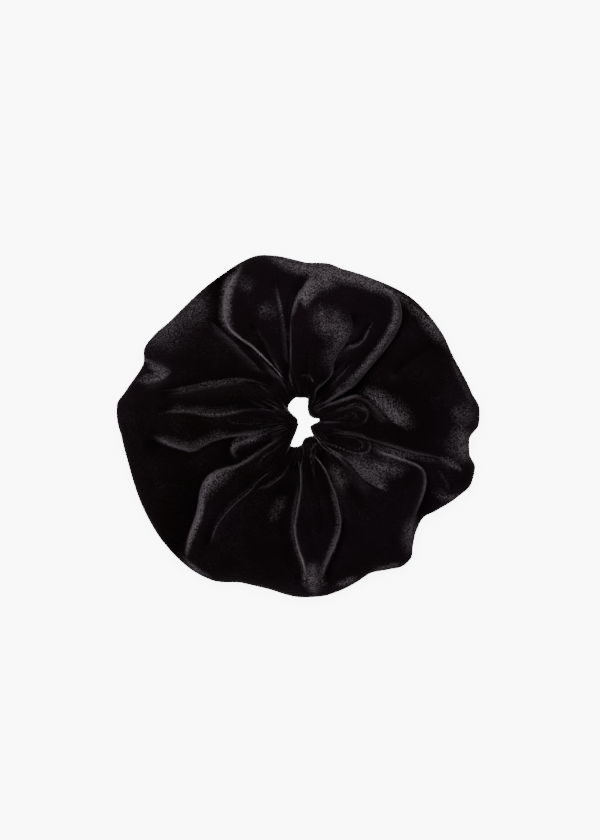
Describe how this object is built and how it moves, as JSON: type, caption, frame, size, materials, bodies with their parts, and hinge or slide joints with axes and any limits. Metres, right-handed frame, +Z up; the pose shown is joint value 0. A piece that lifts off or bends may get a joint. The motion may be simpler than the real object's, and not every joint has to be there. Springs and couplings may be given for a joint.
{
  "type": "hair scrunchie",
  "caption": "Oversized soft ring of gathered velvet sewn as a tube around an elastic band, to hold a ponytail or bun; stretches open over hair and springs back",
  "frame": {"origin": "on the table, under the middle of the ring's outline", "axes": "+X to the picture's right along the widest extent, +Y towards the closing seam, +Z up through the hole"},
  "size_m": [0.1494, 0.1413, 0.0328],
  "materials": {
    "velvet": "black cut-pile velvet with a soft sheen, dark where it faces the eye and pale purple-grey where it is seen edge on",
    "elastic": "black braided elastic, matte, ribbed along its length",
    "thread": "black spun polyester sewing thread"
  },
  "bodies": {
    "sector_1": {"sleeve_1": "velvet", "band_1": "elastic", "long_seam_1": "thread", "band_tail": "elastic", "bartack": "thread", "closing_seam": "thread"},
    "sector_2": {"sleeve_2": "velvet", "band_2": "elastic", "long_seam_2": "thread"},
    "sector_3": {"sleeve_3": "velvet", "band_3": "elastic", "long_seam_3": "thread"},
    "sector_4": {"sleeve_4": "velvet", "band_4": "elastic", "long_seam_4": "thread"},
    "sector_5": {"sleeve_5": "velvet", "band_5": "elastic", "long_seam_5": "thread"},
    "sector_6": {"sleeve_6": "velvet", "band_6": "elastic", "long_seam_6": "thread"},
    "sector_7": {"sleeve_7": "velvet", "band_7": "elastic", "long_seam_7": "thread"},
    "sector_8": {"sleeve_8": "velvet", "band_8": "elastic", "long_seam_8": "thread"},
    "sector_9": {"sleeve_9": "velvet", "band_9": "elastic", "long_seam_9": "thread"}
  },
  "joints": [
    {"name": "stretch_5_6", "type": "slide", "parent": "sector_5", "child": "sector_6", "axis": [0.887, 0.4618, 0], "range_m": [0, 0.014], "stiffness_N_per_m": 150},
    {"name": "stretch_6_7", "type": "slide", "parent": "sector_6", "child": "sector_7", "axis": [0.3007, 0.9537, 0], "range_m": [0, 0.014], "stiffness_N_per_m": 150},
    {"name": "stretch_7_8", "type": "slide", "parent": "sector_7", "child": "sector_8", "axis": [-0.4618, 0.887, 0], "range_m": [0, 0.014], "stiffness_N_per_m": 150},
    {"name": "stretch_8_9", "type": "slide", "parent": "sector_8", "child": "sector_9", "axis": [-0.9537, 0.3007, 0], "range_m": [0, 0.014], "stiffness_N_per_m": 150},
    {"name": "stretch_5_4", "type": "slide", "parent": "sector_5", "child": "sector_4", "axis": [-0.9537, 0.3007, 0], "range_m": [0, 0.014], "stiffness_N_per_m": 150},
    {"name": "stretch_4_3", "type": "slide", "parent": "sector_4", "child": "sector_3", "axis": [-0.4618, 0.887, 0], "range_m": [0, 0.014], "stiffness_N_per_m": 150},
    {"name": "stretch_3_2", "type": "slide", "parent": "sector_3", "child": "sector_2", "axis": [0.3007, 0.9537, 0], "range_m": [0, 0.014], "stiffness_N_per_m": 150},
    {"name": "stretch_2_1", "type": "slide", "parent": "sector_2", "child": "sector_1", "axis": [0.887, 0.4618, 0], "range_m": [0, 0.014], "stiffness_N_per_m": 150}
  ],
  "couplings": [
    {"joint": "stretch_6_7", "follows": "stretch_5_6", "ratio": 1},
    {"joint": "stretch_7_8", "follows": "stretch_5_6", "ratio": 1},
    {"joint": "stretch_8_9", "follows": "stretch_5_6", "ratio": 1},
    {"joint": "stretch_5_4", "follows": "stretch_5_6", "ratio": 1},
    {"joint": "stretch_4_3", "follows": "stretch_5_6", "ratio": 1},
    {"joint": "stretch_3_2", "follows": "stretch_5_6", "ratio": 1},
    {"joint": "stretch_2_1", "follows": "stretch_5_6", "ratio": 1}
  ]
}
